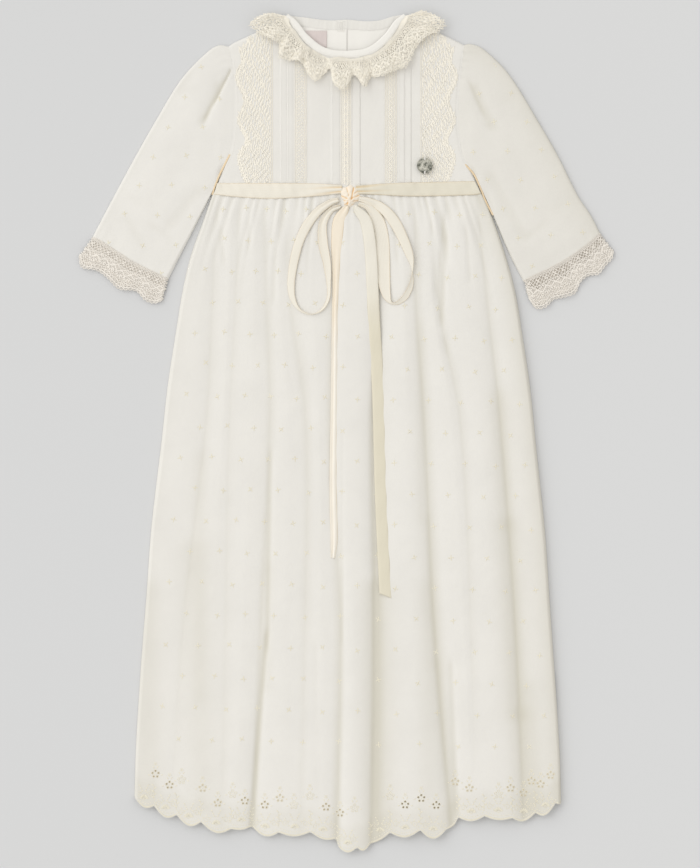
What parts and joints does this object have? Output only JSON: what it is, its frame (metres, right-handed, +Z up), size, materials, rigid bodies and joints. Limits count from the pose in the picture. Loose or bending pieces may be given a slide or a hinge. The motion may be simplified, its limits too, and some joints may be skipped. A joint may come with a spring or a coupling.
{
  "type": "christening gown",
  "caption": "Long-sleeved baby christening gown laid flat, with tucked bodice, lace ruffle and cuffs, gathered scalloped skirt and a ribbon belt tied in a bow.",
  "frame": {"origin": "centre of the gown's outline, on the surface that it lies on", "axes": "+Y along the gown towards the neck, +X to the right in the picture, +Z up from the surface"},
  "size_m": [0.5335, 0.8395, 0.0128],
  "materials": {
    "cotton": "warm white fine cotton batiste with small embroidered sprigs",
    "lace": "ecru cotton lace",
    "ribbon": "cream woven ribbon with a soft sheen",
    "metal": "silver-grey, softly brushed",
    "label": "pale woven label, left blank"
  },
  "bodies": {
    "root": {"skirt_front": "cotton", "skirt_back": "cotton", "bodice_front": "cotton", "bodice_back_left": "cotton", "bodice_back_right": "cotton", "sleeve_left_front": "cotton", "sleeve_left_back": "cotton", "sleeve_right_front": "cotton", "sleeve_right_back": "cotton", "neck_band_front": "cotton", "neck_band_back_left": "cotton", "neck_band_back_right": "cotton", "cuff_lace_left_front": "lace", "cuff_lace_left_back": "lace", "cuff_lace_right_front": "lace", "cuff_lace_right_back": "lace", "neck_ruffle": "lace", "lace_panel_left": "lace", "lace_panel_right": "lace", "insertion_left": "lace", "insertion_centre": "lace", "insertion_right": "lace", "belt_left": "ribbon", "belt_right": "ribbon", "bow_knot": "ribbon", "bow_loop_left": "ribbon", "bow_loop_right": "ribbon", "bow_tail_left": "ribbon", "bow_tail_right": "ribbon", "medal": "metal", "label": "label"}
  },
  "joints": []
}
